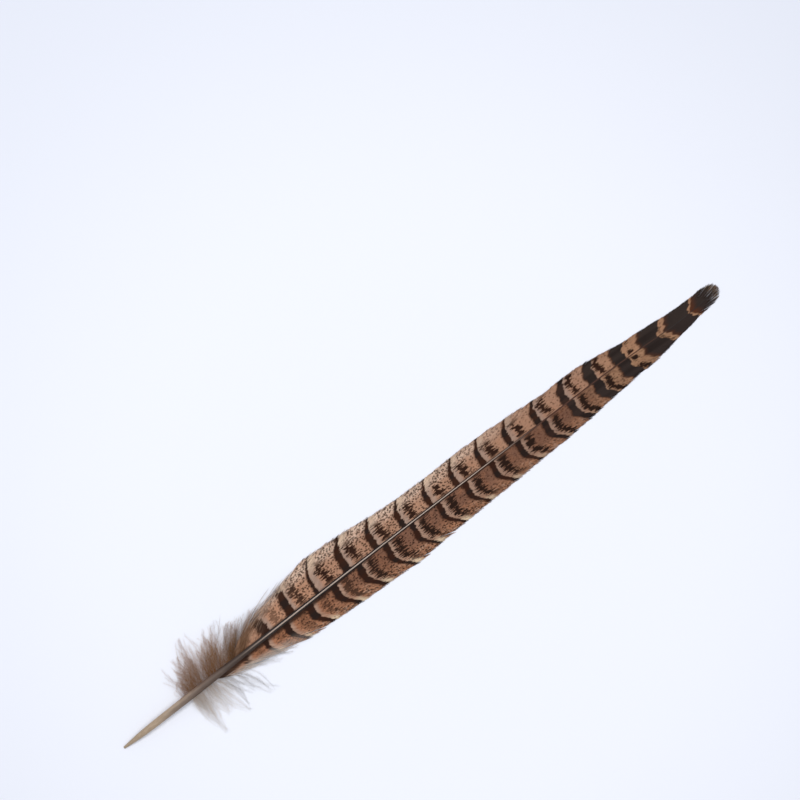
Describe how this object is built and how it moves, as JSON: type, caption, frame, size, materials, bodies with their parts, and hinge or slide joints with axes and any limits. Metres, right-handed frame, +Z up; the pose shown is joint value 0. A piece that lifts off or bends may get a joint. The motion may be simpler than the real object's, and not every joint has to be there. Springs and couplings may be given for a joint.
{
  "type": "pheasant tail feather",
  "caption": "Long barred tail feather lying flat: a bare quill that thins into the shaft, a vane on each side of it, and down where the vanes begin.",
  "frame": {"origin": "on the surface that the feather lies on, under the middle of its length and width", "axes": "+X along the shaft from the quill's end to the tip, +Y towards the side of the wider vane, +Z up out of the feather's upper face"},
  "size_m": [0.29, 0.0411, 0.0041],
  "materials": {
    "vane": "matt barred keratin barbs",
    "shaft": "smooth horn, straw at the quill and slate further on",
    "down": "loose grey-brown down"
  },
  "bodies": {
    "root": {"feather": "vane"}
  },
  "joints": []
}
